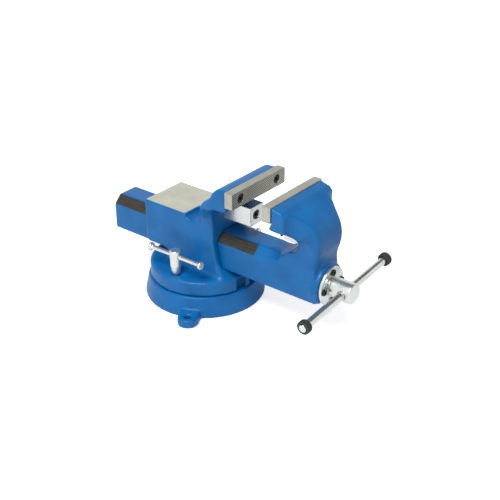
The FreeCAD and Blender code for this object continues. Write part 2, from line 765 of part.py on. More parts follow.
pocket(moving_jaw, outline(moving_jaw, "channel_outline", "XZ_Plane", [
    ("beam_rear - 5", "beam_bottom - 20"),
    ("beam_rear - 5", "channel_top"),
    ("beam_front - front_wall", "channel_top"),
    ("beam_front - front_wall", "beam_bottom - 20"),
]), "channel_width", both_sides=True)
pocket(moving_jaw, outline(moving_jaw, "pipe_seat_outline", "XZ_Plane", [
    ("%s - 12" % MOVING_BACK, PIPE_BOTTOM + " - sliding_gap"),
    ("%s - 12" % MOVING_BACK, PIPE_TOP + " + sliding_gap"),
    (MOVING_PIPE_BACK, PIPE_TOP + " + sliding_gap"),
    (MOVING_PIPE_BACK, PIPE_BOTTOM + " - sliding_gap"),
]), "pipe_jaw_width + 2 * sliding_gap", both_sides=True)
pocket(
    moving_jaw,
    rings(moving_jaw, "spindle_bore", "YZ_Plane",
          [("0", "spindle_height", "journal_radius + running_fit")], offset=FLANGE_BACK),
    "front_wall + boss_length + 5",
)
flange_circles = []
for k in range(4):
    angle = "flange_screw_turn * 1 deg + %d deg" % (90 * k)
    flange_circles.append((
        "flange_screw_circle * cos(%s)" % angle,
        "spindle_height + flange_screw_circle * sin(%s)" % angle,
    ))
pocket(
    moving_jaw,
    rings(moving_jaw, "flange_threads", "YZ_Plane", [
        (across, along, "flange_shank_radius + screw_clearance")
        for across, along in flange_circles
    ], offset=FLANGE_BACK),
    "flange_screw_length - flange_head_proud - flange_thickness + 1",
)
pocket(
    moving_jaw,
    rings(moving_jaw, "moving_plate_threads", "YZ_Plane", [
        ("plate_screw_spacing / 2", PLATE_MIDDLE, "plate_shank_radius + screw_clearance"),
        ("-plate_screw_spacing / 2", PLATE_MIDDLE, "plate_shank_radius + screw_clearance"),
    ], offset=MOVING_BACK),
    "plate_screw_length - plate_thickness + 1",
    backwards=True,
)
pocket(
    moving_jaw,
    rings(moving_jaw, "moving_pipe_thread", "YZ_Plane", [
        ("0", PIPE_MIDDLE, "plate_shank_radius + screw_clearance"),
    ], offset=MOVING_PIPE_BACK),
    "moving_pipe_grip + 2",
    backwards=True,
)

# ---------------------------------------------------------------- flange
# The collar bolted over the spindle on the front of the moving jaw.
spindle_flange = new_body("spindle_flange")
flange_disc = pad(
    spindle_flange,
    rings(spindle_flange, "flange_outline", "YZ_Plane", [
        ("0", "spindle_height", "flange_radius"),
        ("0", "spindle_height", "journal_radius + running_fit"),
    ], offset=FLANGE_BACK),
    "flange_thickness",
)
pocket(
    spindle_flange,
    rings(spindle_flange, "flange_holes", "YZ_Plane", [
        (across, along, "flange_shank_radius + 2 * screw_clearance")
        for across, along in flange_circles
    ], offset=FLANGE_FACE),
    "flange_thickness + 1",
)
pocket(
    spindle_flange,
    rings(spindle_flange, "flange_counterbores", "YZ_Plane", [
        (across, along, "flange_head_radius + screw_clearance")
        for across, along in flange_circles
    ], offset=FLANGE_FACE),
    "flange_head_length - flange_head_proud",
)
for k, (across, along) in enumerate(flange_circles, 1):
    screw = socket_screw(
        "flange_screw_%d" % k, "flange_head_radius", "flange_head_length",
        "flange_shank_radius", "flange_screw_length", "flange_hex",
    )
    place(screw, FLANGE_FACE + " + flange_head_proud", across, along)

# ---------------------------------------------------------------- spindle
spindle = new_body("spindle")
spindle_profile = outline(spindle, "spindle_profile", "XZ_Plane", [
    ("spindle_rear", "0"),
    ("spindle_rear", "thread_radius - 2"),
    ("spindle_rear + 2", "thread_radius - running_fit"),
    ("beam_front - front_wall - collar_length - 2", "thread_radius - running_fit"),
    ("beam_front - front_wall - collar_length - 2", "journal_radius"),
    (HEAD_BACK, "journal_radius"),
    (HEAD_BACK, "spindle_head_radius - head_chamfer"),
    (HEAD_BACK + " + head_chamfer", "spindle_head_radius"),
    (HEAD_BACK + " + spindle_head_length - head_chamfer", "spindle_head_radius"),
    (HEAD_BACK + " + spindle_head_length", "spindle_head_radius - head_chamfer"),
    (HEAD_BACK + " + spindle_head_length", "0"),
], rise="spindle_height")
revolve(spindle, spindle_profile, "H_Axis")
handle_x = "%s + handle_offset" % HEAD_BACK
handle_hole = rings(
    spindle, "handle_hole", "XZ_Plane", [("0", "0", "handle_radius + running_fit")],
)
handle_hole.MapMode = "Deactivated"
handle_hole.Placement = FreeCAD.Placement(
    FreeCAD.Vector(0, 0, 0), FreeCAD.Rotation(FreeCAD.Vector(1, 0, 0), 90)
)
bind(
    handle_hole, Placement__Base__x=handle_x, Placement__Base__z="spindle_height",
    Placement__Rotation__Angle="90 + handle_tilt",
)
pocket(spindle, handle_hole, "4 * spindle_head_radius", both_sides=True)
pin_x = "(beam_front - front_wall - sliding_gap - collar_length / 2)"
pocket(
    spindle,
    rings(spindle, "spindle_pin_hole", "XY_Plane", [(pin_x, "0", "collar_pin_radius + running_fit")],
          offset="spindle_height"),
    "4 * collar_radius",
    both_sides=True,
)

spindle_collar = new_body("spindle_collar")
pad(
    spindle_collar,
    rings(spindle_collar, "collar_outline", "YZ_Plane", [
        ("0", "spindle_height", "collar_radius"),
        ("0", "spindle_height", "journal_radius + running_fit"),
    ], offset="beam_front - front_wall - sliding_gap - collar_length"),
    "collar_length",
)
pocket(
    spindle_collar,
    rings(spindle_collar, "collar_pin_hole", "XY_Plane",
          [(pin_x, "0", "collar_pin_radius + running_fit")], offset="spindle_height"),
    "4 * collar_radius",
    both_sides=True,
)
collar_pin = new_body("collar_pin")
pad(
    collar_pin,
    rings(collar_pin, "pin_outline", "XY_Plane", [(pin_x, "0", "collar_pin_radius")],
          offset="spindle_height"),
    "2 * collar_radius - 1",
    both_sides=True,
)
thrust_washer = new_body("thrust_washer")
pad(
    thrust_washer,
    rings(thrust_washer, "washer_outline", "YZ_Plane", [
        ("0", "spindle_height", "washer_radius"),
        ("0", "spindle_height", "journal_radius + running_fit"),
    ], offset=FLANGE_FACE + " + sliding_gap"),
    "washer_thickness",
)

# ---------------------------------------------------------------- handle
# Built along Y about its own middle, then tilted and set through the head.
def tilt(obj):
    obj.Placement = FreeCAD.Placement(
        FreeCAD.Vector(0, 0, 0), FreeCAD.Rotation(FreeCAD.Vector(1, 0, 0), 1)
    )
    bind(
        obj, Placement__Base__x=handle_x, Placement__Base__z="spindle_height",
        Placement__Rotation__Angle="handle_tilt",
    )


handle_bar = new_body("handle_bar")
revolve(handle_bar, outline(handle_bar, "bar_profile", "XY_Plane", [
    ("0", "-handle_half_length"),
    ("handle_radius - 0.8", "-handle_half_length"),
    ("handle_radius", "-handle_half_length + 0.8"),
    ("handle_radius", "handle_half_length - 0.8"),
    ("handle_radius - 0.8", "handle_half_length"),
    ("0", "handle_half_length"),
]), "V_Axis")
tilt(handle_bar)
for label, side in (("handle_cap_near", "-"), ("handle_cap_far", "")):
    cap = new_body(label)
    outer = "%s(handle_half_length - cap_inset)" % side
    outer_edge = "%s(handle_half_length - cap_inset - 1.5)" % side
    inner = "%s(handle_half_length - cap_inset - cap_length)" % side
    inner_edge = "%s(handle_half_length - cap_inset - cap_length + 1.5)" % side
    revolve(cap, outline(cap, label + "_profile", "XY_Plane", [
        ("handle_radius + running_fit", outer),
        ("cap_radius - 1.5", outer),
        ("cap_radius", outer_edge),
        ("cap_radius", inner_edge),
        ("cap_radius - 1.5", inner),
        ("handle_radius + running_fit", inner),
    ]), "V_Axis")
    tilt(cap)

# ---------------------------------------------------------------- nut
# A block on the tunnel's floor, standing up inside the beam's channel.
spindle_nut = new_body("spindle_nut")
pad(spindle_nut, outline(spindle_nut, "nut_outline", "YZ_Plane", [
    ("-nut_width / 2", TUNNEL_FLOOR),
    ("nut_width / 2", TUNNEL_FLOOR),
    ("nut_width / 2", "nut_top - 6"),
    ("nut_width / 2 - 6", "nut_top"),
    ("-nut_width / 2 + 6", "nut_top"),
    ("-nut_width / 2", "nut_top - 6"),
]), "nut_length", both_sides=True)
pocket(
    spindle_nut,
    rings(spindle_nut, "nut_thread", "YZ_Plane", [("0", "spindle_height", "thread_radius")]),
    "2 * nut_length",
    both_sides=True,
)
pocket(
    spindle_nut,
    rings(spindle_nut, "nut_bolt_threads", "XY_Plane", [
        ("nut_bolt_spacing / 2", "0", "nut_bolt_radius + screw_clearance"),
        ("-nut_bolt_spacing / 2", "0", "nut_bolt_radius + screw_clearance"),
    ], offset=TUNNEL_FLOOR),
    "nut_bolt_reach + 0.5 - %s" % TUNNEL_FLOOR,
    backwards=True,
)
for number, side in ((1, "-"), (2, "")):
    bolt = new_body("nut_bolt_%d" % number)
    revolve(bolt, outline(bolt, "nut_bolt_profile_%d" % number, "XZ_Plane", [
        ("0", "under_recess_top - nut_bolt_head_height"),
        ("nut_bolt_head_radius", "under_recess_top - nut_bolt_head_height"),
        ("nut_bolt_head_radius", "under_recess_top"),
        ("nut_bolt_radius", "under_recess_top"),
        ("nut_bolt_radius", "nut_bolt_reach"),
        ("0", "nut_bolt_reach"),
    ]), "V_Axis")
    place(bolt, "%snut_bolt_spacing / 2" % side, "0", "0")

# ---------------------------------------------------------------- locking screws
# A tapered barrel with a sliding bar on each side, screwed into the clamp ring.
for label, side in (("near", "-"), ("far", "")):
    screw = new_body("lock_screw_" + label)
    foot = "(disc_top + sliding_gap)"
    revolve(screw, outline(screw, "lock_profile_" + label, "XZ_Plane", [
        ("0", "lock_bottom"),
        ("lock_shank_radius - 1", "lock_bottom"),
        ("lock_shank_radius", "lock_bottom + 1"),
        ("lock_shank_radius", foot),
        ("lock_foot_radius", foot),
        ("lock_foot_radius + 0.8", foot + " + 3"),
        ("lock_barrel_radius - 0.3", foot + " + 14"),
        ("lock_barrel_radius", "lock_bar_height"),
        ("lock_barrel_radius", "lock_top - 1.5"),
        ("lock_barrel_radius - 1.5", "lock_top"),
        ("0", "lock_top"),
    ]), "V_Axis")
    pocket(screw, rings(screw, "lock_bar_hole_" + label, "YZ_Plane", [
        ("0", "lock_bar_height", "lock_bar_radius + running_fit"),
    ]), "4 * lock_barrel_radius", both_sides=True)
    place(screw, "lock_x", "%slock_y" % side, "0")

    bar = new_body("lock_bar_" + label)
    end = "lock_bar_half_length"
    revolve(bar, outline(bar, "lock_bar_profile_" + label, "XZ_Plane", [
        ("-" + end, "0"),
        ("-" + end, "lock_bar_end_radius"),
        ("-%s + lock_bar_end_length" % end, "lock_bar_end_radius"),
        ("-%s + 2 * lock_bar_end_length" % end, "lock_bar_radius"),
        ("%s - 2 * lock_bar_end_length" % end, "lock_bar_radius"),
        ("%s - lock_bar_end_length" % end, "lock_bar_end_radius"),
        (end, "lock_bar_end_radius"),
        (end, "0"),
    ]), "H_Axis")
    place(bar, "lock_x", "%slock_y" % side, "lock_bar_height")

# ---------------------------------------------------------------- output
doc.recompute()
bodies = [o for o in doc.Objects if o.TypeId == "PartDesign::Body"]
failed = [o.Label for o in doc.Objects if {"Invalid", "Error"} & set(o.State)]
for piece in bodies:
    if piece.Shape.isNull() or not piece.Shape.isValid() or len(piece.Shape.Solids) != 1:
        failed.append(piece.Label)
if failed:
    raise SystemExit("failed: " + ", ".join(failed))
os.makedirs("parts", exist_ok=True)
for piece in bodies:
    piece.Shape.exportStep("parts/%s.step" % piece.Label)
    box = piece.Shape.BoundBox
    print("%-24s %10.1f  x %.1f..%.1f  y %.1f..%.1f  z %.1f..%.1f" % (
        piece.Label, piece.Shape.Volume, box.XMin, box.XMax, box.YMin, box.YMax,
        box.ZMin, box.ZMax,
    ))
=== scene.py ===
import bpy
import bmesh
import json
import math
import numpy as np
from mathutils import Matrix, Vector


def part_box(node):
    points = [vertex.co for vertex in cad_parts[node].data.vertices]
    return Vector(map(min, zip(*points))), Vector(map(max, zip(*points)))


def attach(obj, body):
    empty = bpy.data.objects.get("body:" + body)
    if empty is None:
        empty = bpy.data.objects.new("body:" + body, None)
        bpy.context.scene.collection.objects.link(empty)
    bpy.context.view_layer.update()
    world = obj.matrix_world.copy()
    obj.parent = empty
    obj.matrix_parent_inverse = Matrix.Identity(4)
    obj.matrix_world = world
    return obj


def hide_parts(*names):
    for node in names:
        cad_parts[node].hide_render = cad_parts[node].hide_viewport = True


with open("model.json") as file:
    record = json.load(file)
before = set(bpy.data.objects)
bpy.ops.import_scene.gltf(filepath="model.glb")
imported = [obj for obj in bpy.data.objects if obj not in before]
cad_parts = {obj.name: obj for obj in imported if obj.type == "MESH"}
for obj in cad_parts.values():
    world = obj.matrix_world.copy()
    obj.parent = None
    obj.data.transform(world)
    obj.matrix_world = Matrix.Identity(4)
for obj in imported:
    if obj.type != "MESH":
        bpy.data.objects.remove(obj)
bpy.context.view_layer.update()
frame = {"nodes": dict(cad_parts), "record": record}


# ---- Painted castings -----------------------------------------------------------------
# The round base, the clamping ring inside it, the fixed jaw with its housing, and the
# moving jaw with its long beam. All are grey iron cast in sand, so their edges are round;
# the faces that bear are milled or ground afterwards, and the rest is brushed blue gloss.

casting_net = 0.00175
fine_net = 0.0016
casting_rounds = 34
ledge_bore = 0.0775
paint_deep = (0.001, 0.095, 0.290, 1)
paint_light = (0.002, 0.132, 0.385, 1)
rim_highlight_blue = (0.050, 0.200, 0.420, 1)
# Lighter blue for the painted highlight on outer edges.
ground_light = (0.680, 0.685, 0.570, 1)
ground_dark = (0.480, 0.490, 0.410, 1)
milled_light = (0.085, 0.080, 0.068, 1)
milled_dark = (0.034, 0.032, 0.028, 1)


def add_node(tree, kind, sockets=None, **settings):
    """One node with its settings; a socket's entry is a number or another node's output."""
    made = tree.nodes.new(kind)
    for key, value in settings.items():
        setattr(made, key, value)
    for key, value in (sockets or {}).items():
        if isinstance(value, bpy.types.NodeSocket):
            tree.links.new(value, made.inputs[key])
        else:
            made.inputs[key].default_value = value
    return made


def calc(tree, operation, first, second=0.0, third=0.0, clamp=False):
    """The result of one sum on one or two values."""
    made = add_node(tree, "ShaderNodeMath", {0: first, 1: second, 2: third}, operation=operation)
    made.use_clamp = clamp
    return made.outputs[0]


def blend_colours(tree, share, first, second):
    """The first colour where share is 0, the second where it is 1."""
    made = tree.nodes.new("ShaderNodeMix")
    made.data_type = "RGBA"
    for socket, value in ((0, share), (6, first), (7, second)):
        if isinstance(value, bpy.types.NodeSocket):
            tree.links.new(value, made.inputs[socket])
        else:
            made.inputs[socket].default_value = value
    return made.outputs[2]


def effect(name, inputs, outputs):
    """An empty node group with the named inputs and outputs, and its two end nodes."""
    group = bpy.data.node_groups.new(name, "ShaderNodeTree")
    for label, kind, value in inputs:
        socket = group.interface.new_socket(label, in_out="INPUT", socket_type=kind)
        socket.default_value = value
    for label, kind in outputs:
        group.interface.new_socket(label, in_out="OUTPUT", socket_type=kind)
    return group, group.nodes.new("NodeGroupInput"), group.nodes.new("NodeGroupOutput")


def place_effect(tree, group, **values):
    """A group in a material; each name's underscores stand for spaces."""
    made = tree.nodes.new("ShaderNodeGroup")
    made.node_tree = group
    for key, value in values.items():
        socket = made.inputs[key.replace("_", " ")]
        if isinstance(value, bpy.types.NodeSocket):
            tree.links.new(value, socket)
        else:
            socket.default_value = value
    return made


colour_kind, value_kind = "NodeSocketColor", "NodeSocketFloat"

# Brushed paint on sand-cast iron: a slow drift of tone, and the grain of the casting
# under the film, seen as dull and glossy specks and as a low relief.
cast_paint, paint_in, paint_out = effect(
    "cast paint",
    [("Deep", colour_kind, paint_deep), ("Light", colour_kind, paint_light),
     ("Gloss", value_kind, 0.3)],
    [("Colour", colour_kind), ("Roughness", value_kind), ("Height", value_kind)],
)
where = add_node(cast_paint, "ShaderNodeTexCoord").outputs["Object"]
drift = add_node(cast_paint, "ShaderNodeTexNoise", {"Vector": where, "Scale": 28.0, "Detail": 3.0})
grain = add_node(cast_paint, "ShaderNodeTexNoise", {"Vector": where, "Scale": 620.0, "Detail": 2.0})
pits = add_node(cast_paint, "ShaderNodeTexNoise", {"Vector": where, "Scale": 190.0, "Detail": 2.0})
drifted = calc(cast_paint, "MULTIPLY_ADD", drift.outputs[0], 2.2, -0.6, clamp=True)
tone = blend_colours(cast_paint, drifted, paint_in.outputs["Deep"], paint_in.outputs["Light"])
cast_paint.links.new(tone, paint_out.inputs["Colour"])
specks = calc(cast_paint, "MULTIPLY", grain.outputs[0], 0.16)
cast_paint.links.new(
    calc(cast_paint, "ADD", paint_in.outputs["Gloss"], specks), paint_out.inputs["Roughness"],
)
relief = calc(cast_paint, "MULTIPLY_ADD", pits.outputs[0], 1.6, grain.outputs[0])
cast_paint.links.new(relief, paint_out.inputs["Height"])

# Painted highlight on outer edges: a lighter blue mask that is high where the surface turns
# sharply outwards, broken up so that it comes and goes along the edge.
edge_highlight, highlight_in, highlight_out = effect(
    "edge highlight", [("From", value_kind, 0.53), ("To", value_kind, 0.60)], [("Highlight", value_kind)],
)
turning = add_node(edge_highlight, "ShaderNodeNewGeometry").outputs["Pointiness"]
spread = add_node(edge_highlight, "ShaderNodeMapRange", {
    "Value": turning, "From Min": highlight_in.outputs["From"], "From Max": highlight_in.outputs["To"],
})
where = add_node(edge_highlight, "ShaderNodeTexCoord").outputs["Object"]
broken = add_node(edge_highlight, "ShaderNodeTexNoise", {"Vector": where, "Scale": 90.0, "Detail": 4.0})
share = calc(edge_highlight, "MULTIPLY_ADD", broken.outputs[0], 2.6, -0.9, clamp=True)
edge_highlight.links.new(
    calc(edge_highlight, "MULTIPLY", spread.outputs[0], share), highlight_out.inputs["Highlight"],
)

# Ground or milled metal: fine lines left by the wheel or cutter, drawn out along one way,
# over cloudy patches of tone.
cut_metal, cut_in, cut_out = effect(
    "cut metal",
    [("Dark", colour_kind, ground_dark), ("Light", colour_kind, ground_light),
     ("Stretch", "NodeSocketVector", (1.0, 1.0, 1.0)), ("Dullness", value_kind, 0.3)],
    [("Colour", colour_kind), ("Roughness", value_kind), ("Height", value_kind)],
)
where = add_node(cut_metal, "ShaderNodeTexCoord").outputs["Object"]
drawn = add_node(
    cut_metal, "ShaderNodeVectorMath", {0: where, 1: cut_in.outputs["Stretch"]},
    operation="MULTIPLY",
).outputs[0]
lines = add_node(cut_metal, "ShaderNodeTexNoise", {"Vector": drawn, "Scale": 1.0, "Detail": 3.0})
cloud = add_node(cut_metal, "ShaderNodeTexNoise", {"Vector": where, "Scale": 38.0, "Detail": 3.0})
mixed = calc(cut_metal, "MULTIPLY_ADD", cloud.outputs[0], 1.1, -0.4)
mixed = calc(cut_metal, "MULTIPLY_ADD", lines.outputs[0], 1.2, mixed)
mixed = calc(cut_metal, "SUBTRACT", mixed, 0.25, clamp=True)
cut_metal.links.new(
    blend_colours(cut_metal, mixed, cut_in.outputs["Dark"], cut_in.outputs["Light"]),
    cut_out.inputs["Colour"],
)
dulled = calc(cut_metal, "MULTIPLY_ADD", lines.outputs[0], 0.22, cut_in.outputs["Dullness"])
cut_metal.links.new(dulled, cut_out.inputs["Roughness"])
cut_metal.links.new(lines.outputs[0], cut_out.inputs["Height"])


def relief_normal(tree, height, strength, depth):
    """The shading normal of a low relief of the given depth in metres."""
    bump = add_node(tree, "ShaderNodeBump", {
        "Strength": strength, "Distance": depth, "Height": height,
    })
    return bump.outputs[0]


def surface(name, **fixed):
    """A new material with its Principled shader's own numbers set."""
    material = bpy.data.materials.new(name)
    material.use_nodes = True
    shader = material.node_tree.nodes["Principled BSDF"]
    for key, value in fixed.items():
        shader.inputs[key.replace("_", " ")].default_value = value
    return material, material.node_tree, shader


def painted(name, bare=None, dark=ground_dark, light=ground_light, stretch=(60.0, 900.0, 60.0)):
    """Blue paint with a painted highlight on outer edges, and cut metal where the function bare
    gives a mask of 1.
    """
    material, tree, shader = surface(name, IOR=1.35)
    paint = place_effect(tree, cast_paint, Gloss=0.27)
    # Outer edges are blended towards a lighter blue: a painted highlight.
    highlit = place_effect(tree, edge_highlight, From=0.535, To=0.62).outputs[0]
    highlit = calc(tree, "MULTIPLY", highlit, 0.45)
    colour = blend_colours(tree, highlit, paint.outputs["Colour"], rim_highlight_blue)
    rough, height = paint.outputs["Roughness"], paint.outputs["Height"]
    if bare:
        mask = bare(tree)
        metal = place_effect(
            tree, cut_metal, Dark=dark, Light=light, Stretch=stretch, Dullness=0.32,
        )
        colour = blend_colours(tree, mask, colour, metal.outputs["Colour"])
        lift = calc(tree, "SUBTRACT", metal.outputs["Roughness"], rough)
        rough = calc(tree, "MULTIPLY_ADD", lift, mask, rough)
        change = calc(tree, "SUBTRACT", metal.outputs["Height"], height)
        height = calc(tree, "MULTIPLY_ADD", change, mask, height)
        tree.links.new(calc(tree, "MULTIPLY", mask, 0.55), shader.inputs["Metallic"])
    tree.links.new(colour, shader.inputs["Base Color"])
    tree.links.new(rough, shader.inputs["Roughness"])
    tree.links.new(relief_normal(tree, height, 0.22, 0.0003), shader.inputs["Normal"])
    return material


def between(values, low, high):
    """0 below low, 1 above high, and an S-shaped rise from one to the other."""
    share = np.clip((values - low) / (high - low), 0, 1)
    return share * share * (3 - 2 * share)


def skin(name, net):
    """A node's closed surface under an even net of squares, net metres on a side.

    The node's loose triangles are joined at their corners first.
    """
    source = bpy.data.meshes.new(name + "_source")
    joined = bmesh.new()
    joined.from_mesh(frame["nodes"][name].data)
    bmesh.ops.remove_doubles(joined, verts=joined.verts, dist=1e-6)
    joined.to_mesh(source)
    joined.free()
    holder = bpy.data.objects.new(name + "_source", source)
    bpy.context.collection.objects.link(holder)
    cover = holder.modifiers.new("net", "REMESH")
    cover.mode = "VOXEL"
    cover.voxel_size = net
    held = holder.evaluated_get(bpy.context.evaluated_depsgraph_get())
    mesh = bpy.data.meshes.new_from_object(held)
    bpy.data.objects.remove(holder)
    points = np.empty(3 * len(mesh.vertices))
    mesh.vertices.foreach_get("co", points)
    return mesh, points.reshape(-1, 3)


def relax(mesh, points, softness, rounds):
    """Rounds off edges: each round takes every point half of its softness of the way to
    the mean of its neighbours, so flats stay flat and corners draw in."""
    ends = np.empty(2 * len(mesh.edges), np.int32)
    mesh.edges.foreach_get("vertices", ends)
    first, second = ends.reshape(-1, 2).T
    size = len(points)
    around = np.bincount(ends, minlength=size)[:, None]
    step = 0.5 * np.broadcast_to(softness, size)[:, None]
    for _ in range(rounds):
        total = np.stack([
            np.bincount(first, points[second, k], size) + np.bincount(second, points[first, k], size)
            for k in range(3)
        ], axis=1)
        points = points + step * (total / around - points)
    return points


def clear_bore(points, start, end, radius):
    """Keeps a bore open: every point beside the line from start to end that is nearer it
    than the radius is moved straight out to the radius."""
    start = np.array(start)
    reach = np.linalg.norm(np.array(end) - start)
    axis = (np.array(end) - start) / reach
    along = (points - start) @ axis
    out = points - start - along[:, None] * axis
    distance = np.maximum(np.linalg.norm(out, axis=1), 1e-6)
    inside = (distance < radius) & (along > 0) & (along < reach)
    points[inside] += out[inside] * (radius / distance[inside] - 1)[:, None]


def stand_in(node, mesh, points, material):
    """The finished piece: it takes the node's place and its body, and wears the given material."""
    mesh.vertices.foreach_set("co", points.ravel())
    mesh.polygons.foreach_set("use_smooth", np.ones(len(mesh.polygons), bool))
    mesh.materials.clear()
    mesh.materials.append(material)
    mesh.update()
    piece = bpy.data.objects.new(node + "_finished", mesh)
    bpy.context.collection.objects.link(piece)
    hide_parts(node)
    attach(piece, body_of[node])
    return piece


body_of = {
    node: body for body, held in frame["record"]["behaviour"]["bodies"].items() for node in held
}
finish_of = {part["node"]: part["material_slot"] for part in frame["record"]["subparts"]}

base_mesh, base_points = skin("swivel_base", fine_net)
x, y, z = base_points.T
# The ledge at the top is turned, so it keeps a crisper edge than the cast sides.
softness = 0.9 - 0.75 * between(z, 0.026, 0.030)
base_points = relax(base_mesh, base_points, softness, 14)
clear_bore(base_points, (0, 0, 0.022), (0, 0, 0.034), ledge_bore)
plain_paint = painted("blue_paint")
stand_in("swivel_base", base_mesh, base_points, plain_paint)

for slot in frame["nodes"]["clamp_ring"].material_slots:
    slot.material = plain_paint

anvil_top = 0.1482
anvil_front = -0.0009
jaw_seat = 0.0936
disc_top = 0.0584
lock_hole_radius = 0.0054


def anvil_mask(tree):
    """1 on the anvil's flat top: as high as the top, and behind its front edge."""
    x, y, z = add_node(tree, "ShaderNodeSeparateXYZ", {
        0: add_node(tree, "ShaderNodeTexCoord").outputs["Object"],
    }).outputs
    high = calc(tree, "GREATER_THAN", z, anvil_top - 0.00045)
    return calc(tree, "MULTIPLY", high, calc(tree, "LESS_THAN", x, anvil_front))


fixed_mesh, fixed_points = skin("fixed_jaw", casting_net)
x, y, z = fixed_points.T
# The column and head are rounder than the housing, the seat of the jaw plate is sharp,
# and the foot runs into the disc in a wide fillet.
softness = 0.14 + 0.26 * between(z, 0.132, 0.142) * between(x, 0.004, 0.014)
softness *= 1 - 0.80 * between(x, jaw_seat - 0.005, jaw_seat - 0.0025) * between(z, 0.18, 0.19)
softness = np.where((z < disc_top + 0.022) & (z > disc_top - 0.002), 0.9, softness)
softness = np.where((z <= disc_top - 0.002) & (z > 0.040) & (x > 0.06), 0.5, softness)
fixed_points = relax(fixed_mesh, fixed_points, softness, casting_rounds)
for node in ("lock_screw_near", "lock_screw_far"):
    low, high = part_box(node)
    x, y = (low[0] + high[0]) / 2, (low[1] + high[1]) / 2
    clear_bore(fixed_points, (x, y, 0.020), (x, y, disc_top + 0.002), lock_hole_radius)
stand_in("fixed_jaw", fixed_mesh, fixed_points, painted("blue_paint_ground_anvil", anvil_mask))

beam_top = 0.1255
beam_half_width = 0.0306
beam_chamfer = 0.0134
chamfer_sum = beam_half_width + beam_top - beam_chamfer
chamfer_painted_from = 0.121


def chamfer_mask(tree):
    """1 on the beam's milled corners: the distance out plus the height is at its most."""
    x, y, z = add_node(tree, "ShaderNodeSeparateXYZ", {
        0: add_node(tree, "ShaderNodeTexCoord").outputs["Object"],
    }).outputs
    out = calc(tree, "ADD", calc(tree, "ABSOLUTE", y), z)
    corner = calc(tree, "GREATER_THAN", out, chamfer_sum - 0.0006)
    low = calc(tree, "LESS_THAN", z, beam_top + 0.0001)
    bare = calc(tree, "LESS_THAN", x, chamfer_painted_from)
    return calc(tree, "MULTIPLY", calc(tree, "MULTIPLY", corner, low), bare)


moving_seat = 0.1738
journal_bore = 0.01305
moving_mesh, moving_points = skin("moving_jaw", casting_net)
x, y, z = moving_points.T
# The beam is crisp and the neck above it rounder, most of all on its front shoulders and
# in the throat; the seat of the jaw plate is sharp.
softness = 0.10 + 0.10 * between(z, beam_top - 0.002, beam_top + 0.006) * between(x, 0.15, 0.16)
softness = np.maximum(softness, 0.75 * between(x, 0.205, 0.220) * between(z, 0.112, 0.130))
softness = np.where((x > 0.142) & (x < 0.180) & (z > 0.112) & (z < 0.135), 1.0, softness)
softness = np.where((x > 0.166) & (x < 0.176) & (z > 0.150) & (z < 0.186), 0.6, softness)
seat = between(-x, -moving_seat - 0.005, -moving_seat - 0.0025) * between(z, 0.186, 0.192)
softness *= 1 - 0.86 * seat
moving_points = relax(moving_mesh, moving_points, softness, casting_rounds)
low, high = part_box("spindle")
spindle_height = (low[2] + high[2]) / 2
clear_bore(
    moving_points, (0.205, 0, spindle_height), (0.236, 0, spindle_height), journal_bore + 0.00015,
)
stand_in("moving_jaw", moving_mesh, moving_points, painted(
    "blue_paint_milled_beam", chamfer_mask, milled_dark, milled_light, (40.0, 700.0, 700.0),
))


# ---- Jaw plates -----------------------------------------------------------------------
# Two bars of hardened tool steel, ground all over and screwed into the heads. Their
# gripping faces carry slanting grooves milled before hardening; the tops are plain.

plate_net = 0.0006
groove_pitch = 0.0027
groove_depth = 0.00055
# Painted shade for the roots of the grooves.
groove_shade = (0.035, 0.033, 0.028, 1)
plate_light = (0.520, 0.515, 0.440, 1)
plate_dark = (0.340, 0.338, 0.285, 1)


def cut_surface(name, dark, light, stretch, dullness, metallic, relief=0.15):
    """Bare metal with the cut metal effect."""
    material, tree, shader = surface(name, Metallic=metallic)
    metal = place_effect(
        tree, cut_metal, Dark=dark, Light=light, Stretch=stretch, Dullness=dullness,
    )
    tree.links.new(metal.outputs["Colour"], shader.inputs["Base Color"])
    tree.links.new(metal.outputs["Roughness"], shader.inputs["Roughness"])
    tree.links.new(
        relief_normal(tree, metal.outputs["Height"], relief, 0.0001), shader.inputs["Normal"],
    )
    return material


def ridges(along, pitch, depth, land):
    """The depth of cut at a distance along: none on the lands, which take up the given
    share of the pitch, and then straight down and up like the letter V."""
    phase = np.abs(2 * np.mod(along / pitch, 1) - 1)
    return depth * np.clip((phase - land) / (1 - land), 0, 1)


plate_steel = cut_surface(
    "ground_tool_steel", plate_dark, plate_light, (500.0, 40.0, 900.0), 0.30, 0.75,
)
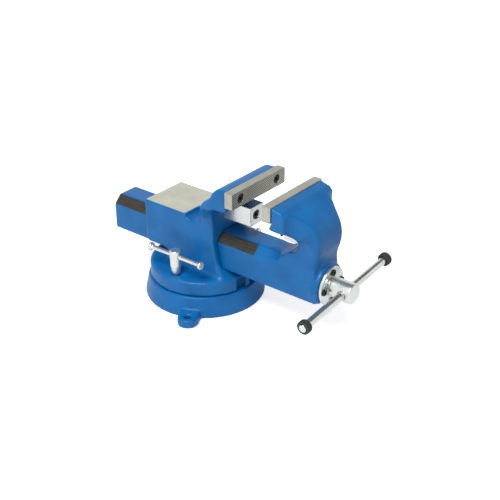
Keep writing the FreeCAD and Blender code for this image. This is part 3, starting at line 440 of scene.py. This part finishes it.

# On the gripping faces the same grooves get painted shade, darkest at their roots.
gripping_steel = plate_steel.copy()
gripping_steel.name = "grooved_tool_steel"
tree = gripping_steel.node_tree
shader = tree.nodes["Principled BSDF"]
clean = shader.inputs["Base Color"].links[0].from_socket
x, y, z = add_node(tree, "ShaderNodeSeparateXYZ", {
    0: add_node(tree, "ShaderNodeTexCoord").outputs["Object"],
}).outputs
turns = calc(tree, "MULTIPLY", calc(tree, "ADD", y, z), 1 / math.sqrt(2) / groove_pitch)
phase = calc(tree, "PINGPONG", turns, 0.5)
root_shade = calc(tree, "MULTIPLY_ADD", phase, 5.0, -1.15, clamp=True)
tree.links.new(
    blend_colours(tree, calc(tree, "MULTIPLY", root_shade, 0.85), clean, groove_shade),
    shader.inputs["Base Color"],
)
for node, face, way in (
    ("fixed_jaw_plate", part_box("fixed_jaw_plate")[1][0], 1),
    ("moving_jaw_plate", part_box("moving_jaw_plate")[0][0], -1),
):
    mesh, points = skin(node, plate_net)
    points = relax(mesh, points, 0.5, 3)
    x, y, z = points.T
    on_face = between(way * (x - face), -0.00035, -0.00015)
    cut = ridges((y + z) / math.sqrt(2), groove_pitch, groove_depth, 0.30)
    points[:, 0] -= way * cut * on_face
    stand_in(node, mesh, points, plate_steel)
    mesh.materials.append(gripping_steel)
    corners = np.empty(4 * len(mesh.polygons), np.int32)
    mesh.loops.foreach_get("vertex_index", corners)
    grooved = on_face[corners.reshape(-1, 4)].min(axis=1) > 0.5
    mesh.polygons.foreach_set("material_index", grooved.astype(np.int32))


# ---- Pipe jaws ------------------------------------------------------------------------
# Steel blocks under the flat jaws, bright zinc plated, each held by one screw. A shallow
# hollow runs across the face, with teeth cut along it to bite on round stock.

zinc_light = (0.760, 0.790, 0.765, 1)
zinc_dark = (0.660, 0.690, 0.665, 1)
tooth_pitch = 0.0024
tooth_depth = 0.0006
pipe_net = 0.0007

plated = cut_surface(
    "bright_zinc", zinc_dark, zinc_light, (60.0, 60.0, 60.0), 0.18, 0.90, 0.02,
)
for node, face, way in (
    ("fixed_pipe_jaw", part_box("fixed_pipe_jaw")[1][0], 1),
    ("moving_pipe_jaw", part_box("moving_pipe_jaw")[0][0], -1),
):
    mesh, points = skin(node, pipe_net)
    points = relax(mesh, points, 0.6, 6)
    x, y, z = points.T
    inside = between(way * (x - face), -0.0030, -0.0024)
    points[:, 0] -= way * ridges(z, tooth_pitch, tooth_depth, 0.1) * inside
    stand_in(node, mesh, points, plated)


# ---- Spindle --------------------------------------------------------------------------
# One turned steel bar: a coarse trapezoidal thread that runs in the nut under the
# housing, a journal through the beam's front wall, and a plated head bored for the bar.

thread_pitch = 0.006
thread_cut = 0.0016
thread_end = 0.196
handle_hole_radius = 0.00610
handle_mouth_radius = 0.0078
handle_mouth_depth = 0.0016
spindle_net = 0.00075
bar_tilt = math.radians(4)

mesh, points = skin("spindle", spindle_net)
points = relax(mesh, points, 0.6, 5)
x, y, z = points.T
radius = np.hypot(y, z - spindle_height)
turn = np.arctan2(z - spindle_height, y) / (2 * math.pi)
along = x - turn * thread_pitch
cut = ridges(along, thread_pitch, thread_cut, 0.38) * between(thread_end - x, 0, 0.003)
bar_x = (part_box("handle_bar")[0][0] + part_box("handle_bar")[1][0]) / 2
across_bar = (z - spindle_height) * math.cos(bar_tilt) - y * math.sin(bar_tilt)
from_bar = np.hypot(x - bar_x, across_bar)
mouth = np.clip(handle_mouth_radius - from_bar, 0, handle_mouth_depth)
mouth = mouth * between(radius, 0.0118, 0.0132)
cut = cut + mouth * between(x, 0.243, 0.246)
shrink = 1 - cut / np.maximum(radius, 0.008)
points[:, 1] = y * shrink
points[:, 2] = spindle_height + (z - spindle_height) * shrink
bar_axis = np.array((0.0, math.cos(bar_tilt), math.sin(bar_tilt)))
bar_run = 0.03 * bar_axis
bar_middle = np.array((bar_x, 0.0, spindle_height))
clear_bore(points, bar_middle - bar_run, bar_middle + bar_run, handle_hole_radius)
stand_in("spindle", mesh, points, plated)


# ---- Flange, thrust washer and locking screws -----------------------------------------
# The flange is a zinc plated disc that keeps the spindle in the moving jaw. The locking
# screws are turned from plated bar, waisted towards the foot, with a loose cross bar
# whose ends were upset after it was put through.

cross_hole_radius = 0.00360

for node, net in (
    ("spindle_flange", 0.0008), ("thrust_washer", 0.0005), ("lock_screw_near", 0.0006),
    ("lock_screw_far", 0.0006), ("lock_bar_near", 0.0005), ("lock_bar_far", 0.0005),
):
    mesh, points = skin(node, net)
    points = relax(mesh, points, 0.8, 12)
    if node == "spindle_flange":
        clear_bore(
            points, (0.230, 0, spindle_height), (0.245, 0, spindle_height), journal_bore + 0.00005,
        )
    if node.startswith("lock_screw"):
        low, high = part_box(node.replace("screw", "bar"))
        y, z = (low[1] + high[1]) / 2, (low[2] + high[2]) / 2
        clear_bore(points, (low[0], y, z), (high[0], y, z), cross_hole_radius)
    stand_in(node, mesh, points, plated)


# ---- Handle bar and caps --------------------------------------------------------------
# A plain round steel bar, bright plated, that slides in the spindle's head. Moulded
# rubber caps are pushed on its ends and leave the cut end of the bar showing.

cap_flutes = 30
flute_depth = 0.00035
cap_bore = 0.00612
cap_outside = 0.0101
cap_half_length = 0.00515
rubber_dark = (0.012, 0.016, 0.014, 1)
rubber_light = (0.040, 0.050, 0.045, 1)

bar_material = cut_surface(
    "polished_bar", zinc_dark, zinc_light, (200.0, 60.0, 60.0), 0.10, 0.95, 0.05,
)
mesh, points = skin("handle_bar", 0.0008)
stand_in("handle_bar", mesh, relax(mesh, points, 0.7, 5), bar_material)

rubber, tree, shader = surface("cap_rubber", IOR=1.45)
where = add_node(tree, "ShaderNodeTexCoord").outputs["Object"]
fine = add_node(tree, "ShaderNodeTexNoise", {"Vector": where, "Scale": 1500.0, "Detail": 2.0})
dusty = add_node(tree, "ShaderNodeTexNoise", {"Vector": where, "Scale": 160.0, "Detail": 3.0})
tree.links.new(
    blend_colours(tree, dusty.outputs[0], rubber_dark, rubber_light), shader.inputs["Base Color"],
)
tree.links.new(
    calc(tree, "MULTIPLY_ADD", fine.outputs[0], 0.2, 0.45), shader.inputs["Roughness"],
)
tree.links.new(relief_normal(tree, fine.outputs[0], 0.3, 0.0002), shader.inputs["Normal"])


def fluted_ring(centre, axis, inner, outer, half_length, around, across):
    """Points of a closed ring, around by across.

    Across goes round the ring's section, a squared ellipse (cosine and sine each to the
    power one half) between the inner and outer radius; around turns that section about the
    axis. The outside dips at each flute, by the flute depth times one less the cosine.
    """
    section = np.linspace(0, 2 * math.pi, across, endpoint=False)
    angle = np.linspace(0, 2 * math.pi, around, endpoint=False)[:, None]
    out = np.sign(np.cos(section)) * np.abs(np.cos(section)) ** 0.5
    length = half_length * np.sign(np.sin(section)) * np.abs(np.sin(section)) ** 0.5
    radius = (inner + outer) / 2 + out * (outer - inner) / 2
    radius = radius - flute_depth * (1 - np.cos(cap_flutes * angle)) * np.clip(out, 0, 1)
    side = np.cross(axis, (1.0, 0.0, 0.0))
    side /= np.linalg.norm(side)
    other = np.cross(axis, side)
    return (
        centre + length[None, :, None] * axis
        + (radius * np.cos(angle))[..., None] * side
        + (radius * np.sin(angle))[..., None] * other
    )


for node in ("handle_cap_near", "handle_cap_far"):
    low, high = (np.array(corner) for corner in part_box(node))
    around, across = 240, 40
    grid = fluted_ring(
        (low + high) / 2, bar_axis, cap_bore, cap_outside, cap_half_length, around, across,
    )
    i, j = np.meshgrid(np.arange(around), np.arange(across), indexing="ij")
    i_next, j_next = (i + 1) % around, (j + 1) % across
    faces = np.stack([
        i * across + j, i * across + j_next, i_next * across + j_next, i_next * across + j,
    ], axis=-1).reshape(-1, 4)
    mesh = bpy.data.meshes.new(node)
    mesh.from_pydata(grid.reshape(-1, 3).tolist(), [], faces.tolist())
    stand_in(node, mesh, grid.reshape(-1, 3), rubber)


# ---- Black screws ---------------------------------------------------------------------
# Socket head screws, hardened and blackened in hot oil, that hold the plates, the pipe
# jaws and the flange; and the bolts, collar and pin that hold the nut and spindle.

black_oxide = cut_surface(
    "black_oxide", (0.010, 0.010, 0.010, 1), (0.035, 0.034, 0.032, 1), (300.0, 300.0, 300.0),
    0.30, 0.6,
)
for node, held in frame["nodes"].items():
    if finish_of[node] == "black_steel":
        for slot in held.material_slots:
            slot.material = black_oxide

# The nut is a plain iron casting, drilled and tapped, left as it came from the mould.
raw_iron = cut_surface(
    "raw_iron", milled_dark, milled_light, (400.0, 400.0, 400.0), 0.45, 0.6, 0.4,
)
for slot in frame["nodes"]["spindle_nut"].material_slots:
    slot.material = raw_iron


# ---- Floor, light and camera ----------------------------------------------------------
# A pale studio floor that runs out of sight, an even white surround, one broad lamp high
# in front, and the camera.

floor_mesh = bpy.data.meshes.new("floor")
floor_mesh.from_pydata([(-6, -6, 0), (6, -6, 0), (6, 6, 0), (-6, 6, 0)], [], [(0, 1, 2, 3)])
floor = bpy.data.objects.new("floor", floor_mesh)
bpy.context.collection.objects.link(floor)
floor_material, tree, shader = surface("floor", Roughness=1.0, Specular_IOR_Level=0.0)
shader.inputs["Base Color"].default_value = (0.90, 0.90, 0.90, 1)
shader.inputs["Emission Color"].default_value = (1, 1, 1, 1)
direct = tree.nodes.new("ShaderNodeLightPath").outputs["Is Camera Ray"]
tree.links.new(calc(tree, "MULTIPLY", direct, 0.55), shader.inputs["Emission Strength"])
floor_mesh.materials.append(floor_material)

surround = bpy.data.worlds.new("surround")
bpy.context.scene.world = surround
surround.use_nodes = True
tree = surround.node_tree
light_path = tree.nodes.new("ShaderNodeLightPath").outputs
seen = calc(tree, "ADD", light_path["Is Camera Ray"], light_path["Is Glossy Ray"])
seen = calc(tree, "ADD", seen, light_path["Is Transmission Ray"], clamp=True)
level = calc(tree, "MULTIPLY_ADD", seen, 0.45, 0.55)
# High overhead the studio is dark, which draws a dark streak along polished bars.
height = add_node(tree, "ShaderNodeSeparateXYZ", {
    0: add_node(tree, "ShaderNodeTexCoord").outputs["Generated"],
}).outputs["Z"]
overhead = add_node(tree, "ShaderNodeMapRange", {
    "Value": height, "From Min": 0.54, "From Max": 0.64, "To Min": 1.0, "To Max": 0.10,
}).outputs[0]
shade = calc(tree, "MULTIPLY", light_path["Is Glossy Ray"], calc(tree, "SUBTRACT", 1.0, overhead))
level = calc(tree, "MULTIPLY", level, calc(tree, "SUBTRACT", 1.0, shade))
tree.links.new(level, tree.nodes["Background"].inputs["Strength"])
tree.nodes["Background"].inputs["Color"].default_value = (1, 1, 1, 1)

lamp_data = bpy.data.lights.new("key", "AREA")
lamp_data.energy = 36
lamp_data.size = 0.9
lamp = bpy.data.objects.new("key", lamp_data)
bpy.context.collection.objects.link(lamp)
lamp.location = (0.2, -1.05, 1.8)
lamp.rotation_euler = (math.radians(31), 0, 0)

camera_place = (0.8658, -0.9878, 0.7830)

camera_data = bpy.data.cameras.new("camera")
camera_data.sensor_width = 36
camera_data.lens = 68.31
camera_data.clip_end = 50
camera = bpy.data.objects.new("camera", camera_data)
bpy.context.collection.objects.link(camera)
azimuth, elevation = math.radians(38.13), math.radians(28.6)
back = Vector((
    math.sin(azimuth) * math.cos(elevation), -math.cos(azimuth) * math.cos(elevation),
    math.sin(elevation),
))
right = Vector((math.cos(azimuth), math.sin(azimuth), 0))
up = back.cross(right)
camera.matrix_world = Matrix((
    (right.x, up.x, back.x, camera_place[0]), (right.y, up.y, back.y, camera_place[1]),
    (right.z, up.z, back.z, camera_place[2]), (0, 0, 0, 1),
))
bpy.context.scene.camera = camera
bpy.context.scene.view_settings.view_transform = "Standard"
